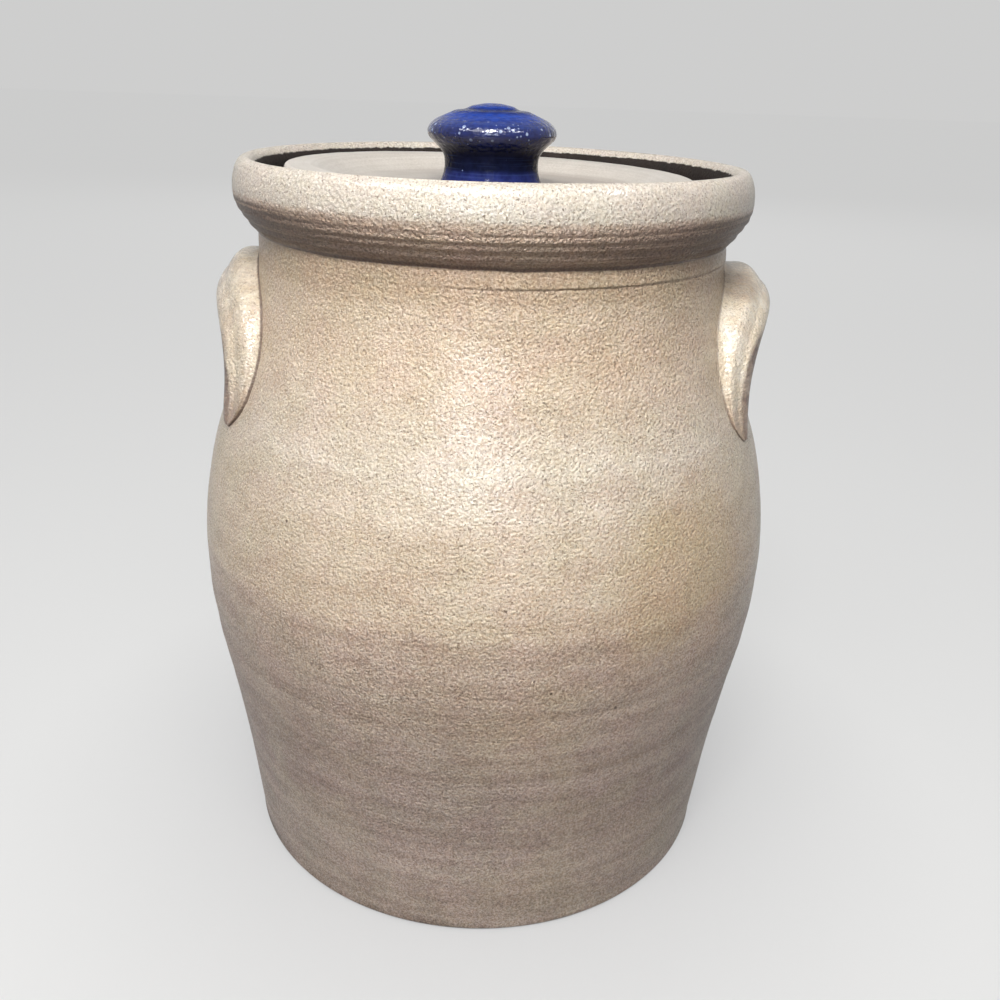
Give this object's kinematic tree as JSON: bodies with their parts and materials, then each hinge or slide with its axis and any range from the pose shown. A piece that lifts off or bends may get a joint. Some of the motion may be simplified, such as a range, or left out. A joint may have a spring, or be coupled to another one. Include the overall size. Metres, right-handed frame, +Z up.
{
  "type": "salt glaze crock",
  "caption": "Thrown stoneware crock with a rolled rim, ear handles on the shoulder and a lift-off lid with a turned knob.",
  "frame": {"origin": "middle of the flat base, on the surface the crock stands on", "axes": "+Z up along the jar's axis, the ear handles on +X and -X, the pictured front towards -Y"},
  "size_m": [0.2244, 0.2244, 0.2904],
  "materials": {
    "salt_glaze": "tan salt glaze with a fine orange-peel texture",
    "handle_glaze": "light tan salt glaze, smoother than the jar",
    "lid_glaze": "pale beige satin glaze",
    "cobalt_glaze": "glossy cobalt blue glaze"
  },
  "bodies": {
    "crock": {"crock_body": "salt_glaze", "left_handle": "handle_glaze", "right_handle": "handle_glaze"},
    "lid_with_knob": {"lid": "lid_glaze", "lid_knob": "cobalt_glaze"}
  },
  "joints": [
    {"name": "lid_lift", "type": "slide", "parent": "crock", "child": "lid_with_knob", "axis": [0, 0, 1], "range_m": [0, 0.15]}
  ]
}
